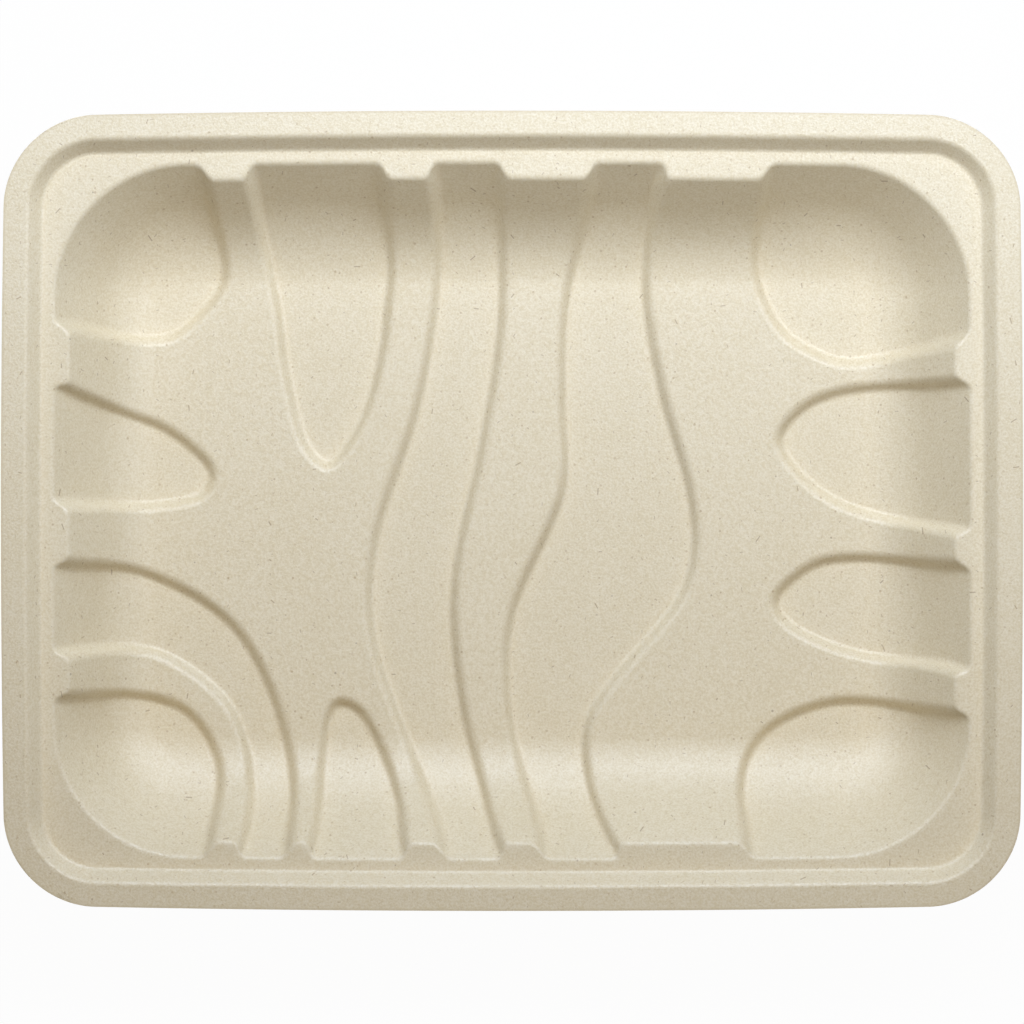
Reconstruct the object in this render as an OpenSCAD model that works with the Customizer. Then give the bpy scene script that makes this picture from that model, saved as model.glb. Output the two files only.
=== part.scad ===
// Pressed-fibre produce tray: a shallow bowl with a stepped rim, its floor and walls
// divided by raised flowing ribs that leave twelve sunken pockets. One thin moulded shell.

/* [Tray] */
// overall length, across the middle of the short ends
tray_l = 235; // [220:1:250]
// overall width, across the middle of the long sides
tray_w = 184; // [170:0.5:198]
// overall height, from the resting floor to the top of the flange
tray_h = 25.4; // [22:0.2:28]
// thickness of the pressed fibre
wall_t = 0.9; // [0.7:0.1:1.3]
// outer corner radius of the flange
corner_r = 21; // [19:0.5:27]
// bow of each long side between its corners
side_bow = 1.4; // [0:0.1:2]
// bow of each short end between its corners
end_bow = 1; // [0:0.1:2]

/* [Rim] */
// flat outer flange, up to where the step starts
flange_w = 5; // [4:0.1:5.6]
// plan width of the step from flange to ledge
step_run = 3.9; // [3:0.1:4.8]
// fall of the step
step_drop = 2.9; // [1.5:0.1:3.5]
// outer edge to the edge of the bowl
opening_inset = 11.7; // [11:0.1:13]
// corner radius of the bowl at the ledge
opening_r = 30; // [29:0.5:36]
// rounding of the bowl edge
lip_r = 1.2; // [0.6:0.1:1.6]

/* [Walls] */
// slope of the walls from the horizontal
wall_angle = 57; // [53:1:64]
// foot radius of the long walls
foot_r_long = 24; // [18:1:25]
// foot radius of the short walls
foot_r_short = 13; // [8:1:18]

/* [Ribs] */
// height of the ribs above the pockets, square to the surface
rib_h = 3.1; // [2:0.1:4]
// plan width of the slope from rib to pocket
rib_slope_w = 2.6; // [2.2:0.1:3.6]

/* [Hidden] */

fibre = [0.85, 0.8, 0.68];

// size of bowl opening that the pocket outlines are drawn for
pattern_l = 211.8;
pattern_w = 160.3;

// pocket outlines, anticlockwise; their outer ends lie past the bowl edge
pocket_top_left = [
    [-122, 92], [-116, 45.5], [-105, 44], [-87, 40.5], [-79, 41.5], [-68.7, 51.6], [-67.3, 57],
    [-72, 80], [-73, 94]
];
pocket_top = [
    [-63.5, 91.5], [-61.5, 86], [-59.5, 70], [-54.9, 46.6], [-53, 32.6], [-48, 14.5], [-43, 10.7],
    [-35.2, 20.6], [-30.6, 36], [-29.1, 47.5], [-28.3, 57], [-30.8, 78], [-31.5, 93]
];
pocket_middle = [
    [-21, 95], [-18.5, 81], [-17.4, 58.5], [-21.9, 26.5], [-32.4, -8], [-32.9, -28.5], [-15, -80.5],
    [-13.5, -92], [0, -94], [-2.5, -80], [-11.4, -45.6], [-13.6, -23.5], [-12.3, -9.5], [-7.3, 13],
    [-3, 39], [-2.2, 50.5], [-3, 79.5], [-2.5, 94]
];
pocket_wave = [
    [17, 92], [19, 78.5], [12.5, 49], [11.7, 26], [11.8, 5.5], [-0.5, -25.5], [-0.7, -48], [8, -81.5],
    [8.5, -91.5], [31, -95], [24.5, -79.5], [18.4, -64], [18.2, -49.1], [40.1, -19.5], [42.9, -8.5],
    [41.7, 4.9], [35, 29.5], [31.5, 54.5], [35.5, 80], [43, 95]
];
pocket_top_right = [
    [60.5, 95], [60, 80], [57.1, 57], [63.4, 42.4], [71.5, 37], [78.5, 35], [97.5, 38.5], [106, 41.5],
    [117, 46], [116, 91.5]
];
pocket_right_upper = [
    [120, 28], [104, 29.5], [77.4, 28.2], [67.9, 24.1], [62.8, 17.5], [64.2, 12.6], [75.5, 2.3],
    [105, -4.5], [122, -3.5]
];
pocket_right_lower = [
    [114.5, -16], [104, -13.5], [79, -11.1], [70.4, -12.8], [61.8, -20.5], [63.5, -25.5], [78, -33],
    [98.5, -36], [115.5, -37]
];
pocket_bottom_right = [
    [115.5, -49], [104, -48], [76, -44.9], [60.8, -50.7], [55.4, -57.5], [53.5, -65.5], [55.5, -80],
    [57, -91], [120, -95]
];
pocket_left = [
    [-116, 5], [-103.5, 2], [-81, 1.5], [-72.1, 4.1], [-70.2, 9], [-78.7, 17.9], [-88.1, 22.3],
    [-115.5, 29.5]
];
pocket_arc = [
    [-116.5, -35], [-104.5, -33], [-85.5, -33], [-76.5, -37], [-66.9, -45.5], [-62.3, -56.9],
    [-61.6, -71.5], [-65, -95], [-57, -90], [-51.2, -65], [-63.8, -28.7], [-86.9, -14.3], [-105, -13],
    [-115, -14]
];
pocket_bottom_left = [
    [-128, -95], [-75, -92], [-71.5, -81], [-68.7, -60], [-76, -47.4], [-89, -43.3], [-104.5, -44],
    [-115.5, -43.5]
];
pocket_bottom = [
    [-20, -93], [-24.5, -80], [-26.5, -67.1], [-35.3, -47.3], [-40.3, -44.9], [-42.9, -47.5],
    [-46.5, -79.5], [-50, -93]
];
pockets = [
    pocket_top_left, pocket_top, pocket_middle, pocket_wave, pocket_top_right, pocket_right_upper,
    pocket_right_lower, pocket_bottom_right, pocket_left, pocket_arc, pocket_bottom_left, pocket_bottom
];

// facet counts round a corner, along the sides and ends, and up the curves
corner_steps = 6;
side_steps = 4;
end_steps = 3;
foot_steps = 5;
lip_steps = 1;
rim_steps = 4;
// longest straight piece of a pocket outline
outline_seg = 5;
// spare height that cutting shapes carry past the surface they cut
spare = 0.25;
clear_h = 10;

half_l = tray_l / 2;
half_w = tray_w / 2;
open_l = half_l - opening_inset;
open_w = half_w - opening_inset;
ledge_z = tray_h - step_drop;
floor_z = wall_t;
lip_run = lip_r * tan(wall_angle / 2);
// side shift that keeps the shell even where it slopes
step_shift = wall_t * tan(atan(1.5 * step_drop / step_run) / 2);
rib_shift = wall_t * tan(atan(rib_h / rib_slope_w) / 2);

// stations round a rounded rectangle: side signs and the direction the edge faces
corner_signs = [[1, 1], [-1, 1], [-1, -1], [1, -1]];
function corner_stations(k) = [
    for (j = [0 : corner_steps]) [corner_signs[k].x, corner_signs[k].y, 90 * (k + j / corner_steps)]
];
function side_stations(k, from, to, steps) = [
    for (j = [1 : steps - 1]) concat(from + (to - from) * j / steps, [90 * (k + 1)])
];
stations = [
    for (k = [0 : 3]) each concat(
        corner_stations(k),
        side_stations(k, corner_signs[k], corner_signs[(k + 1) % 4], k % 2 == 0 ? side_steps : end_steps)
    )
];

// straight-sided plan point moved onto the bowed sides
function bow(q) = [
    q.x * (1 - end_bow / half_l * pow(q.y / half_w, 2)),
    q.y * (1 - side_bow / half_w * pow(q.x / half_l, 2))
];
function lift(q, z) = concat(bow(q), [z]);
function inset_point(s, hx, hy, r, d) = [
    s[0] * (hx - r) + (r - d) * cos(s[2]),
    s[1] * (hy - r) + (r - d) * sin(s[2])
];
function rim_ring(d, z) = [for (s = stations) lift(inset_point(s, half_l, half_w, corner_r, d), z)];

// foot radius and its centre for an edge that faces the angle a
function foot_r(a) = foot_r_short + (foot_r_long - foot_r_short) * pow(sin(a), 2);
function foot_run(r) = (r + (ledge_z - floor_z - r) * cos(wall_angle)) / sin(wall_angle);

// bowl surface moved out square to itself by e: one point, by station, run and height
function bowl_point(s, d, z) = lift(inset_point(s, open_l, open_w, opening_r, d), z);
function foot_ring(e, a) = [
    for (s = stations) let (r = foot_r(s[2])) bowl_point(
        s, foot_run(r) - (r + e) * sin(a), floor_z + r - (r + e) * cos(a)
    )
];
function edge_ring(e, d, z) = [for (s = stations) bowl_point(s, d - e / sin(wall_angle), z)];
function foot_rings(e) = [for (k = [0 : foot_steps]) foot_ring(e, wall_angle * k / foot_steps)];
function lip_rings(e) = [
    for (k = [lip_steps : -1 : 0]) let (a = wall_angle * k / lip_steps)
        edge_ring(e, lip_r * sin(a) - lip_run, ledge_z - lip_r * (1 - cos(a)))
];

// height of that surface above a plan point
function bowl_z(q, e) = let (
    u = abs(q.x) - open_l + opening_r,
    v = abs(q.y) - open_w + opening_r,
    d = opening_r - norm([max(u, 0), max(v, 0)]) - min(max(u, v), 0),
    r = foot_r(atan2(max(v, 0), max(u, spare))),
    run = foot_run(r)
) d >= run ? floor_z - e
    : d > run - (r + e) * sin(wall_angle) ? floor_z + r - sqrt(pow(r + e, 2) - pow(run - d, 2))
    : min(ledge_z - (d + e / sin(wall_angle)) * tan(wall_angle), tray_h);

// smooth closed curve through the outline points
function slope_at(p, q, r) = let (h = sqrt(norm(q - p)), k = sqrt(norm(r - q)))
    (q - p) / h - (r - p) / (h + k) + (r - q) / k;
function span(p, q, r, s) = let (
    k = sqrt(norm(r - q)),
    m = slope_at(p, q, r) * k,
    n = slope_at(q, r, s) * k,
    steps = max(2, ceil(norm(r - q) / outline_seg))
) [
    for (j = [0 : steps - 1]) let (t = j / steps)
        q + m * t + (3 * (r - q) - 2 * m - n) * pow(t, 2) + (2 * (q - r) + m + n) * pow(t, 3)
];
function curve(c) = let (n = len(c)) [
    for (i = [0 : n - 1]) each span(c[i], c[(i + 1) % n], c[(i + 2) % n], c[(i + 3) % n])
];
function outward(c, i) = let (n = len(c), t = c[(i + 1) % n] - c[(i + n - 1) % n]) [t.y, -t.x] / norm(t);
function fitted(c) = [for (p = c) [p.x * 2 * open_l / pattern_l, p.y * 2 * open_w / pattern_w]];

// closed solid through rings of equal count, lowest first
module loft(rings) {
    n = len(rings[0]);
    top = (len(rings) - 1) * n;
    polyhedron(
        points = [for (r = rings) each r],
        faces = concat(
            [[for (i = [0 : n - 1]) i]],
            [[for (i = [n - 1 : -1 : 0]) top + i]],
            [
                for (k = [0 : n : top - 1], i = [0 : n - 1]) let (j = (i + 1) % n)
                    each [[k + i, k + n + i, k + n + j], [k + i, k + n + j, k + j]]
            ]
        )
    );
}

// stacked rings joined pair by pair
module stack(rings) {
    for (k = [0 : len(rings) - 2]) hull() loft([rings[k], rings[k + 1]]);
}

function rim_rings(shift, fall) = [
    for (k = [rim_steps : -1 : 0]) let (t = k / rim_steps)
        rim_ring(flange_w + step_run * t - shift, tray_h - step_drop * t * t * (3 - 2 * t) - fall)
];
module rim_body() {
    stack(rim_rings(step_shift, wall_t));
    stack([rim_ring(0, tray_h - wall_t), rim_ring(0, tray_h)]);
}
module rim_air() {
    stack(concat(rim_rings(0, 0), [rim_ring(flange_w, tray_h + clear_h)]));
}

// the bowl as air, with its rounded edge
module bowl_air(e) {
    loft(concat(foot_rings(e), lip_rings(e), [edge_ring(e, -lip_run, ledge_z + spare)]));
}
// the bowl as a body, up to the middle of the ledge
module bowl_body(e) {
    rise = wall_t / 2;
    loft(concat(foot_rings(e), [edge_ring(e, rise / tan(wall_angle), ledge_z - rise)]));
}

// everything inside a pocket outline; its side slopes from rib surface to pocket surface
module skirt(outline, e, shift) {
    c = curve(fitted(outline));
    foot = [for (i = [0 : len(c) - 1]) c[i] - outward(c, i) * (rib_slope_w / 2 - shift)];
    brow = [for (i = [0 : len(c) - 1]) c[i] + outward(c, i) * (rib_slope_w / 2 + shift)];
    loft([
        [for (q = foot) lift(q, -clear_h)],
        [for (q = foot) lift(q, bowl_z(q, e) - spare)],
        [for (q = brow) lift(q, bowl_z(q, e - rib_h) + spare)],
        [for (q = brow) lift(q, tray_h + clear_h)]
    ]);
}

module shell_air() {
    bowl_air(-rib_h);
    for (p = pockets) intersection() {
        bowl_air(0);
        skirt(p, 0, 0);
    }
}
module shell_body() {
    bowl_body(wall_t - rib_h);
    for (p = pockets) intersection() {
        bowl_body(wall_t);
        skirt(p, wall_t, rib_shift);
    }
}

module tray() {
    color(fibre) difference() {
        union() {
            rim_body();
            shell_body();
        }
        rim_air();
        shell_air();
    }
}

tray();
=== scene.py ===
import math
import bpy
import numpy as np
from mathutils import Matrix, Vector, kdtree


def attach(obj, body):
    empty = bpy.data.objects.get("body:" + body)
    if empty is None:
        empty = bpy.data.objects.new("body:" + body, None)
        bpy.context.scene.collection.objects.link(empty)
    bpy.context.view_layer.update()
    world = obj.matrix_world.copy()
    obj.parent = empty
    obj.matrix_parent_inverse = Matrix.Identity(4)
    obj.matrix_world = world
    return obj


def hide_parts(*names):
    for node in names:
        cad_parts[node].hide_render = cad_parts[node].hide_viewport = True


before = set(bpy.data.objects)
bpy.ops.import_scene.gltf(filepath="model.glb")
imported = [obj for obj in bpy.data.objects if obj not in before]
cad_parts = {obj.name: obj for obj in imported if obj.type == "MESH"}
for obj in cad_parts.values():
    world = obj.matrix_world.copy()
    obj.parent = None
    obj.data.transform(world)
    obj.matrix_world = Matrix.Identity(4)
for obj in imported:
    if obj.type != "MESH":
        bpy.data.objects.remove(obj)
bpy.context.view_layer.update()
print("frame loaded")

mm = 0.001

# millimetres and degrees; a toe or brow is the rounded share of a slope at its foot or top
tray = {
    "name": "pressed_tray",
    "length": 235.0, "width": 184.0, "height": 25.4, "wall": 0.9,
    "cornerR": 21.0, "sideBow": 1.4, "endBow": 1.0,
    "flange": 5.1, "stepRun": 4.1, "stepDrop": 3.5, "stepBrow": 0.3, "stepToe": 0.27,
    "inset": 11.7, "openingR": 30.0, "lip": 0.6, "lipSag": 0.12, "lipSagRun": 1.6,
    "longWall": (52.0, 19.5), "shortWall": (55.0, 13.2),  # angle, and run of the foot
    "footEase": 0.75, "footSteps": 80,
    "ribHeight": 2.9, "ribFloor": 2.3, "ribSlope": 3.7,
    "ribBrow": 0.58, "ribToe": 0.42, "ribEase": 2.3, "ribShift": 0.03,
    "proudEnd": 1.8, "proudRun": 12, "proudRound": 0.5,  # where ribs rise from floor to wall height
    "notchSlope": 5.4, "notchRun": 13.0, "flare": 0.8, "flareRun": 4.0,
    "outlineStep": 0.25, "cell": 0.4, "keepFaces": 0.17,
    "edgeRound": 0.3, "edgeSegments": 2, "edgeAngle": 80, "smoothAngle": 50,
}

# pocket outlines, anticlockwise, outer ends past the bowl edge
pockets = {
    "topLeft": [(-122, 92), (-116, 45.5), (-105, 44), (-87, 40.5), (-79, 41.5), (-68.7, 51.6),
                (-67.3, 57), (-72.4, 80), (-73.8, 94)],
    "top": [(-63.5, 91.5), (-61.5, 86), (-59.5, 70), (-54.9, 46.6), (-53, 32.6), (-48, 14.5),
            (-43, 10.7), (-35.2, 20.6), (-30.6, 36), (-29.1, 47.5), (-28.3, 57), (-30.4, 78),
            (-30.6, 93)],
    "middle": [(-21, 95), (-18.5, 81), (-17.4, 58.5), (-21.9, 26.5), (-32.4, -8), (-32.9, -28.5),
               (-15, -80.5), (-13.5, -92), (0, -94), (-2.5, -80), (-11.4, -45.6), (-13.6, -23.5),
               (-12.3, -9.5), (-7.3, 13), (-3, 39), (-2.2, 50.5), (-2.8, 79.5), (-1.8, 94)],
    "wave": [(17, 92), (19, 78.5), (12.5, 49), (11.7, 26), (11.8, 5.5), (-0.5, -25.5), (-0.7, -48),
             (8, -81.5), (8.5, -91.5), (31, -95), (24.5, -79.5), (18.4, -64), (18.2, -49.1),
             (40.1, -19.5), (42.9, -8.5), (41.7, 4.9), (35, 29.5), (31.5, 54.5), (35.5, 80),
             (43, 95)],
    "topRight": [(60.5, 95), (60, 80), (57.1, 57), (63.4, 42.4), (71.5, 37), (78.5, 35),
                 (97.5, 38.5), (106, 41.5), (117, 46), (116, 91.5)],
    "rightUpper": [(120, 28), (104, 29.5), (77.4, 28.2), (67.9, 24.1), (62.8, 17.5), (64.2, 12.6),
                   (75.5, 2.3), (105, -4.5), (122, -3.5)],
    "rightLower": [(114.5, -16), (104, -13.5), (79, -11.1), (70.4, -12.8), (61.8, -20.5),
                   (63.5, -25.5), (78, -33), (98.5, -36), (115.5, -37)],
    "bottomRight": [(115.5, -49), (104, -48), (76, -44.9), (60.8, -50.7), (55.4, -57.5),
                    (53.5, -65.5), (55.5, -80), (57, -91), (120, -95)],
    "left": [(-116, 5), (-103.5, 2), (-81, 1.5), (-72.1, 4.1), (-70.2, 9), (-78.7, 17.9),
             (-88.1, 22.3), (-115.5, 29.5)],
    "arc": [(-116.5, -35), (-104.5, -33), (-85.5, -33), (-76.5, -37), (-66.9, -45.5),
            (-62.3, -56.9), (-61.6, -71.5), (-65, -95), (-57, -90), (-51.2, -65), (-63.8, -28.7),
            (-86.9, -14.3), (-105, -13), (-115, -14)],
    "bottomLeft": [(-128, -95), (-75, -92), (-71.5, -81), (-68.7, -60), (-76, -47.4), (-89, -43.3),
                   (-104.5, -44), (-115.5, -43.5)],
    "bottom": [(-21, -93), (-25, -80), (-26.5, -67.1), (-35.3, -47.3), (-40.3, -44.9),
               (-42.9, -47.5), (-46.5, -79.5), (-50, -93)],
}


def smoothLoop(points, step):  # closed curve through the points, evenly eased at each one
    pts = np.array(points, float)
    loop = []
    for i in range(len(pts)):
        p, q, r, s = (pts[(i + k - 1) % len(pts)] for k in range(4))
        a, b, c = (math.sqrt(np.linalg.norm(v)) for v in (q - p, r - q, s - r))
        m = ((q - p) / a - (r - p) / (a + b) + (r - q) / b) * b
        n = ((r - q) / b - (s - q) / (b + c) + (s - r) / c) * b
        t = np.arange(0, 1, step / max(np.linalg.norm(r - q), step * 2))[:, None]
        bend, twist = 3 * (r - q) - 2 * m - n, 2 * (q - r) + m + n
        loop.append(q + m * t + bend * t ** 2 + twist * t ** 3)
    return np.concatenate(loop)


def pocketReach(x, y):  # distance to the nearest pocket edge, less than zero inside a pocket
    edge, out = [], []
    for points in pockets.values():
        loop = smoothLoop(points, tray["outlineStep"])
        along = np.roll(loop, -1, 0) - np.roll(loop, 1, 0)
        along /= np.linalg.norm(along, axis=1)[:, None]
        edge.append(loop)
        out.append(np.stack([along[:, 1], -along[:, 0]], 1))
    edge, out = np.concatenate(edge), np.concatenate(out)
    tree = kdtree.KDTree(len(edge))
    for i, (ex, ey) in enumerate(edge.tolist()):
        tree.insert((ex, ey, 0), i)
    tree.balance()
    near = np.array([tree.find((px, py, 0))[1:] for px, py in zip(x.tolist(), y.tolist())])
    i = near[:, 0].astype(int)
    side = (x - edge[i, 0]) * out[i, 0] + (y - edge[i, 1]) * out[i, 1]
    return np.sign(side) * near[:, 1]


def edgeRun(x, y, halfX, halfY, r):  # run inwards from a rounded rectangle, and how its edge faces
    u, v = np.abs(x) - halfX + r, np.abs(y) - halfY + r
    over = np.hypot(np.maximum(u, 0), np.maximum(v, 0)) + np.minimum(np.maximum(u, v), 0)
    return r - over, np.arctan2(np.maximum(v, 0), np.maximum(u, 1e-6))


def easedRamp(t, toe, brow, ease=2):  # from 0 to 1, each end rounded over its share of the run
    t = np.clip(t, 0, 1)
    steep = 1 / (1 - (toe + brow) * (1 - 1 / ease))
    low = steep * toe / ease * (t / toe) ** ease
    high = 1 - steep * brow / ease * ((1 - t) / brow) ** ease
    return np.where(t < toe, low, np.where(t > 1 - brow, high, steep * (t - toe + toe / ease)))


def bowlRun(x, y):  # run inwards from the bowl edge
    halfX, halfY = tray["length"] / 2 - tray["inset"], tray["width"] / 2 - tray["inset"]
    return edgeRun(x, y, halfX, halfY, tray["openingR"])


def footCurve(angle):  # rise of the foot over a run of 1, tighter at the floor than up the wall
    steps = tray["footSteps"]
    t = np.linspace(0, 1, steps + 1)
    lean = math.sin(angle) * t ** tray["footEase"]
    steep = lean / np.sqrt(1 - lean ** 2)
    return t, np.concatenate([[0], np.cumsum(steep[1:] + steep[:-1])]) / (2 * steps)


def wallHeight(run, lift, side):  # floor, foot and wall of one side, raised square to it by lift
    angle, foot = math.radians(tray[side][0]), tray[side][1]
    sine, tangent = math.sin(angle), math.tan(angle)
    ledge, floor = tray["height"] - tray["stepDrop"], tray["wall"]
    t, rise = footCurve(angle)
    spare = 1 - rise[-1] / tangent
    floorStart = foot * spare + (ledge - floor) / tangent
    foot = foot - lift * (1 / sine - 1 / tangent) / spare
    up = (floorStart - run) / foot
    wall = ledge - (run - lift / sine) * tangent
    return np.where(up > 1, wall, floor + lift + foot * np.interp(up, t, rise))


def bowlHeight(x, y, lift):  # the corners pass from a short wall's section to a long one's
    run, facing = bowlRun(x, y)
    short, long = (wallHeight(run, lift, side) for side in ("shortWall", "longWall"))
    return short + (long - short) * np.sin(facing) ** 2


def rimHeight(x, y):  # flange, step and ledge
    run = edgeRun(x, y, tray["length"] / 2, tray["width"] / 2, tray["cornerR"])[0]
    share = 1 - (run - tray["flange"]) / tray["stepRun"]
    fall = easedRamp(share, tray["stepToe"], tray["stepBrow"])
    return tray["height"] - tray["stepDrop"] * (1 - fall)


def ribShare(x, y, inside):  # 0 on a pocket's floor, 1 on top of a rib
    reach = pocketReach(x, y) - tray["flare"] * np.exp(-(inside / tray["flareRun"]) ** 2)
    near = np.clip(1 - inside / tray["notchRun"], 0, 1)  # rib sides ease out towards the bowl edge
    slope = tray["ribSlope"] + (tray["notchSlope"] - tray["ribSlope"]) * near
    share = reach / slope + tray["ribToe"] + tray["ribShift"]
    return easedRamp(share, tray["ribToe"], tray["ribBrow"], tray["ribEase"])


def pressHeight(x, y):  # top surface of the tray over its straight-sided plan
    rim = rimHeight(x, y)
    inside = bowlRun(x, y)[0]
    onWall = easedRamp(tray["proudEnd"] - inside / tray["proudRun"],
                       tray["proudRound"], tray["proudRound"])
    lift = tray["ribFloor"] + (tray["ribHeight"] - tray["ribFloor"]) * onWall
    low, high = bowlHeight(x, y, 0), bowlHeight(x, y, lift)
    bowl = low + (high - low) * ribShare(x, y, inside)
    sink = np.clip(1 - (bowl - rim) / tray["lipSagRun"], 0, 1)  # ledge sinks to the bowl edge
    rim -= tray["lipSag"] * sink ** 2
    blend = np.maximum(tray["lip"] - np.abs(bowl - rim), 0) ** 2 / (4 * tray["lip"])  # rounded lip
    return np.minimum(bowl, rim) - blend


def applyModifier(obj, kind, **settings):
    mod = obj.modifiers.new(kind.lower(), kind)
    for key, value in settings.items():
        setattr(mod, key, value)
    bpy.ops.object.modifier_apply(modifier=mod.name)


def pressTray():
    halfL, halfW = tray["length"] / 2, tray["width"] / 2
    bpy.ops.object.select_all(action="DESELECT")
    bpy.ops.mesh.primitive_grid_add(x_subdivisions=round(tray["length"] / tray["cell"]),
                                    y_subdivisions=round(tray["width"] / tray["cell"]), size=2)
    obj = bpy.context.object
    obj.name = obj.data.name = tray["name"]
    sheet = np.empty(len(obj.data.vertices) * 3)
    obj.data.vertices.foreach_get("co", sheet)
    sheet = sheet.reshape(-1, 3)
    x, y = sheet[:, 0] * halfL, sheet[:, 1] * halfW
    r = tray["cornerR"]  # square corners of the blank drawn in to round ones
    u = np.clip((np.abs(x) - halfL + r) / r, 0, 1)
    v = np.clip((np.abs(y) - halfW + r) / r, 0, 1)
    x = np.sign(x) * (np.abs(x) + r * u * (np.sqrt(1 - v ** 2 / 2) - 1))
    y = np.sign(y) * (np.abs(y) + r * v * (np.sqrt(1 - u ** 2 / 2) - 1))
    z = pressHeight(x, y)
    sheet[:, 0] = x * (1 - tray["endBow"] / halfL * (y / halfW) ** 2)
    sheet[:, 1] = y * (1 - tray["sideBow"] / halfW * (x / halfL) ** 2)
    sheet[:, 2] = z
    obj.data.vertices.foreach_set("co", (sheet * mm).ravel())
    obj.data.update()
    applyModifier(obj, "DECIMATE", ratio=tray["keepFaces"])
    applyModifier(obj, "SOLIDIFY", thickness=tray["wall"] * mm, offset=-1)
    applyModifier(obj, "BEVEL", width=tray["edgeRound"] * mm, segments=tray["edgeSegments"],
                  limit_method="ANGLE", angle_limit=math.radians(tray["edgeAngle"]))
    bpy.ops.object.shade_smooth_by_angle(angle=math.radians(tray["smoothAngle"]))
    applyModifier(obj, "WEIGHTED_NORMAL", keep_sharp=True)  # flats stay flat up to their edges
    print("tray pressed:", len(obj.data.polygons), "faces")
    return obj


class Wire:  # a socket that takes part in sums
    def __init__(self, tree, socket=None):
        self.tree, self.socket = tree, socket

    def node(self, kind, settings, values, out=0):
        node = self.tree.nodes.new(kind)
        for key, value in settings.items():
            setattr(node, key, value)
        for key, value in values.items():
            if isinstance(value, Wire):
                self.tree.links.new(value.socket, node.inputs[key])
            else:
                node.inputs[key].default_value = value
        return Wire(self.tree, node.outputs[out] if node.outputs else None)

    def sum(self, operation, a, b):
        return self.node("ShaderNodeMath", {"operation": operation}, {0: a, 1: b})

    def __add__(self, other): return self.sum("ADD", self, other)
    def __radd__(self, other): return self.sum("ADD", other, self)
    def __sub__(self, other): return self.sum("SUBTRACT", self, other)
    def __rsub__(self, other): return self.sum("SUBTRACT", other, self)
    def __mul__(self, other): return self.sum("MULTIPLY", self, other)
    def __rmul__(self, other): return self.sum("MULTIPLY", other, self)
    def __truediv__(self, other): return self.sum("DIVIDE", self, other)
    def __rtruediv__(self, other): return self.sum("DIVIDE", other, self)
    def __gt__(self, other): return self.sum("GREATER_THAN", self, other)
    def __lt__(self, other): return self.sum("LESS_THAN", self, other)


# lengths in metres; a mark has its kind, its sizes, its strength and its colour
fibre = {
    "pale": (0.872, 0.792, 0.634, 1), "deep": (0.745, 0.644, 0.447, 1),
    "fleck": (0.53, 0.40, 0.23, 1), "speck": (0.30, 0.20, 0.11, 1), "hair": (0.36, 0.24, 0.12, 1),
    "blotch": (45, 4, 0.55), "mottle": (600, 3, 0.6),  # scale, detail and roughness
    "grain": (2000, 2, 0.65),
    "toneShares": (0.1, 0.18, 0.72), "toneSpan": (0.33, 0.67),
    "marks": [
        ("dashes", (420, 0.0007, 0.00014, 0.5), 0.25, "fleck"),
        ("specks", (640, 0.0003, 0.5), 0.75, "fleck"),
        ("specks", (215, 0.0003, 0.3), 0.7, "speck"),
        ("dashes", (300, 0.00045, 0.00012, 0.18), 0.5, "hair"),
        ("dashes", (105, 0.0009, 0.00015, 0.2), 0.65, "hair"),
    ],
    "speckSizes": (0.5, 0.8), "speckFaint": (0.4, 0.6),  # the least, and what chance adds
    "dashLengths": (0.35, 0.65),
    "speckSoft": 0.55, "dashSoft": (0.35, 0.6),  # where their edges start to fade
    # the trimmed edge's colour: partly the cut fibre's own browner tone, partly painted shade along
    # the rounded rim edge
    "cutEdgeBrownAndShade": (0.60, 0.50, 0.33, 1), "edgeShadeSpan": (0.0001, 0.0007), "edgeShadeSway": 0.0006, "edgeBrownAndShade": 0.5,
    "reliefShares": (0.45, 0.55), "relief": 0.6, "grainDepth": 0.00024,
    "rough": 0.46, "roughSway": 0.3, "gloss": 1.0,
}


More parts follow.
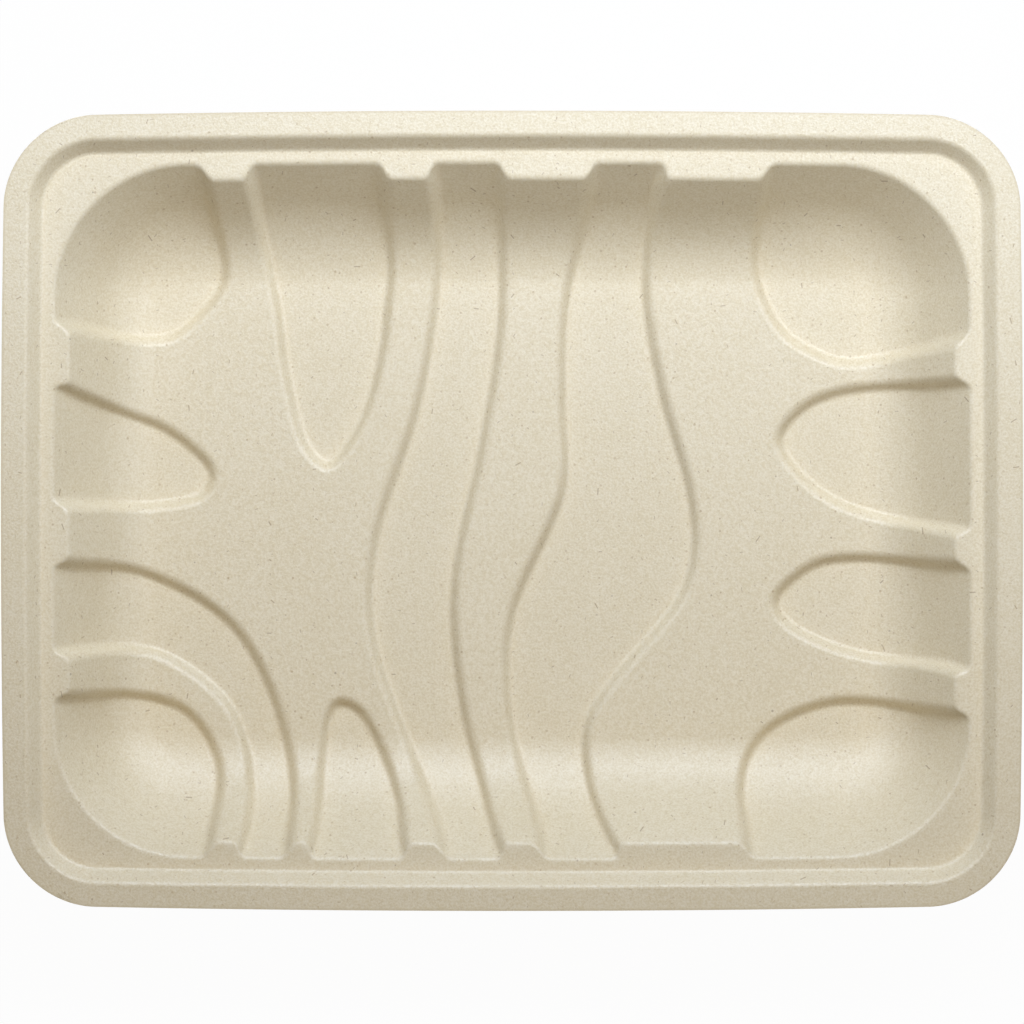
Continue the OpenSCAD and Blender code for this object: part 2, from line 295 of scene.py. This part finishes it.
def fibreMaterial():
    mat = bpy.data.materials.new("pressed_fibre")
    mat.use_nodes = True
    tree = mat.node_tree
    tree.nodes.clear()
    bench = Wire(tree)
    place = bench.node("ShaderNodeTexCoord", {}, {}, "Object")

    def cloud(scale, detail, rough):
        return bench.node("ShaderNodeTexNoise", {}, {"Vector": place, "Scale": scale,
                                                     "Detail": detail, "Roughness": rough}, 0)

    def ramp(value, low, high):
        return bench.node("ShaderNodeMapRange", {"interpolation_type": "SMOOTHSTEP"},
                          {"Value": value, "From Min": low, "From Max": high,
                           "To Min": 0.0, "To Max": 1.0})

    def tint(factor, a, b):
        return bench.node("ShaderNodeMix", {"data_type": "RGBA"}, {0: factor, 6: a, 7: b}, 2)

    def cells(scale, flat, out):  # scattered points, one random number each
        settings = {"voronoi_dimensions": "2D" if flat else "3D", "feature": "F1"}
        return bench.node("ShaderNodeTexVoronoi", settings, {"Vector": place, "Scale": scale}, out)

    def chance(scale, flat, channel):
        return bench.node("ShaderNodeSeparateColor", {}, {0: cells(scale, flat, "Color")}, channel)

    def spread(least, more, scale, flat, channel):  # its own size or strength for each mark
        return least + chance(scale, flat, channel) * more

    def specks(scale, radius, share):  # round dots in a share of the cells
        size = radius * scale * spread(*fibre["speckSizes"], scale, False, 1)
        dot = 1 - ramp(cells(scale, False, "Distance") / size, fibre["speckSoft"], 1.0)
        faint = spread(*fibre["speckFaint"], scale, False, 2)
        return dot * (chance(scale, False, 0) < share) * faint

    def dashes(scale, length, width, share):  # short straight fibres, each at its own angle
        away = bench.node("ShaderNodeVectorMath", {"operation": "SUBTRACT"},
                          {0: place, 1: cells(scale, True, "Position")})
        dx, dy = (bench.node("ShaderNodeSeparateXYZ", {}, {0: away}, axis) for axis in (0, 1))
        turn = chance(scale, True, 1) * math.pi
        c, s = (bench.node("ShaderNodeMath", {"operation": way}, {0: turn})
                for way in ("COSINE", "SINE"))
        along, across = dx * c + dy * s, dy * c - dx * s
        reach = length * spread(*fibre["dashLengths"], scale, True, 2)
        thin = 1 - ramp(across * across / width ** 2, fibre["dashSoft"][0], 1.0)
        short = 1 - ramp(along * along / (reach * reach), fibre["dashSoft"][1], 1.0)
        return thin * short * (chance(scale, True, 0) < share)

    def edgeDistance():  # run inwards from the trimmed outer edge
        half, r = (tray["length"] * mm / 2, tray["width"] * mm / 2), tray["cornerR"] * mm
        flat = [bench.node("ShaderNodeMath", {"operation": "ABSOLUTE"},
                           {0: bench.node("ShaderNodeSeparateXYZ", {}, {0: place}, axis)})
                for axis in (0, 1)]
        bow = (tray["endBow"] * mm / half[0] / half[1] ** 2,
               tray["sideBow"] * mm / half[1] / half[0] ** 2)
        straight = [flat[i] * (1 + flat[1 - i] * flat[1 - i] * bow[i]) for i in (0, 1)]
        past = [bench.sum("MAXIMUM", straight[i] - (half[i] - r), 0.0) for i in (0, 1)]
        return r - bench.sum("POWER", past[0] * past[0] + past[1] * past[1], 0.5)

    blotch, mottle, grain = (cloud(*fibre[name]) for name in ("blotch", "mottle", "grain"))
    shares = fibre["toneShares"]
    tone = ramp(blotch * shares[0] + mottle * shares[1] + grain * shares[2], *fibre["toneSpan"])
    colour = tint(tone, fibre["pale"], fibre["deep"])
    makers = {"dashes": dashes, "specks": specks}
    for kind, sizes, strength, ink in fibre["marks"]:
        colour = tint(makers[kind](*sizes) * strength, colour, fibre[ink])
    # painted shade: colour darkens towards the trimmed outer edge, partly the cut fibre's own
    # browner tone and partly painted shade of the rounded edge
    edgeBrownAndShade = 1 - ramp(edgeDistance() + (grain - 0.5) * fibre["edgeShadeSway"], *fibre["edgeShadeSpan"])
    colour = tint(edgeBrownAndShade * fibre["edgeBrownAndShade"], colour, fibre["cutEdgeBrownAndShade"])
    height = mottle * fibre["reliefShares"][0] + grain * fibre["reliefShares"][1]
    bump = bench.node("ShaderNodeBump", {}, {"Strength": fibre["relief"],
                                             "Distance": fibre["grainDepth"], "Height": height})
    shader = bench.node("ShaderNodeBsdfPrincipled", {}, {
        "Base Color": colour, "Roughness": fibre["rough"] + (grain - 0.5) * fibre["roughSway"],
        "Specular IOR Level": fibre["gloss"], "Normal": bump})
    bench.node("ShaderNodeOutputMaterial", {}, {"Surface": shader})
    return mat


piece = pressTray()
piece.data.materials.clear()
piece.data.materials.append(fibreMaterial())
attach(piece, "root")
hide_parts("tray")
print("fibre laid on")

# metres; the key lamp stands low behind the top edge, the soft one high overhead
studio = {
    "floorSize": 6.0, "floorLevel": -0.0001, "floorTone": (0.9, 0.9, 0.9, 1), "floorWhite": 0.97,
    "key": {"place": (0.03, 0.207, 0.276), "size": (0.5, 0.14), "power": 1.17,
            "tone": (0.9, 1.0, 1.13)},
    "soft": {"place": (0.1, -0.1, 1.8), "size": (2.4, 2.4), "power": 6.3,
             "tone": (1.31, 1.0, 0.55)},
    "aim": (0, 0, 0.02),
    "skyTone": (1.0, 0.96, 0.9, 1), "skyPower": 0.02,
    "eyeHeight": 1.2254, "eyeShift": -0.00028, "lens": 183.5, "sensor": 36,
}


def whiteToTheEye(bench):  # 1 for what the camera sees, also in a gloss or through glass
    seen = [bench.node("ShaderNodeLightPath", {}, {}, ray)
            for ray in ("Is Camera Ray", "Is Glossy Ray", "Is Transmission Ray")]
    return bench.sum("MAXIMUM", bench.sum("MAXIMUM", seen[0], seen[1]), seen[2])


def layFloor():
    bpy.ops.object.select_all(action="DESELECT")
    bpy.ops.mesh.primitive_plane_add(size=studio["floorSize"],
                                     location=(0, 0, studio["floorLevel"]))
    floor = bpy.context.object
    floor.name = "studio_floor"
    mat = bpy.data.materials.new("studio_paper")
    mat.use_nodes = True
    mat.node_tree.nodes.clear()
    bench = Wire(mat.node_tree)
    paper = bench.node("ShaderNodeBsdfDiffuse", {}, {"Color": studio["floorTone"]})
    glow = bench.node("ShaderNodeEmission", {}, {"Color": (1, 1, 1, 1), "Strength": 1.0})
    mix = bench.node("ShaderNodeMixShader", {}, {
        0: whiteToTheEye(bench) * studio["floorWhite"], 1: paper, 2: glow})
    bench.node("ShaderNodeOutputMaterial", {}, {"Surface": mix})
    floor.data.materials.append(mat)


def lightStudio():
    world = bpy.data.worlds.new("studio_sky")
    world.use_nodes = True
    world.node_tree.nodes.clear()
    bench = Wire(world.node_tree)
    fill = bench.node("ShaderNodeBackground", {}, {"Color": studio["skyTone"],
                                                   "Strength": studio["skyPower"]})
    white = bench.node("ShaderNodeBackground", {}, {"Color": (1, 1, 1, 1), "Strength": 1.0})
    mix = bench.node("ShaderNodeMixShader", {}, {0: whiteToTheEye(bench), 1: fill, 2: white})
    bench.node("ShaderNodeOutputWorld", {}, {"Surface": mix})
    bpy.context.scene.world = world
    for name in ("key", "soft"):
        lamp = studio[name]
        bpy.ops.object.light_add(type="AREA", location=lamp["place"])
        light = bpy.context.object
        light.name = name + "_light"
        light.data.shape = "RECTANGLE"
        light.data.size, light.data.size_y = lamp["size"]
        light.data.energy, light.data.color = lamp["power"], lamp["tone"]
        down = Vector(studio["aim"]) - Vector(lamp["place"])
        light.rotation_euler = down.to_track_quat("-Z", "Y").to_euler()
        light.visible_camera = False


def placeCamera():  # straight down, the long side across the picture
    bpy.ops.object.camera_add(location=(0, studio["eyeShift"], studio["eyeHeight"]),
                              rotation=(0, 0, 0))
    camera = bpy.context.object
    camera.data.sensor_width = studio["sensor"]
    camera.data.lens = studio["lens"]
    bpy.context.scene.camera = camera


layFloor()
lightStudio()
placeCamera()
bpy.context.scene.view_settings.view_transform = "Standard"
print("studio ready")
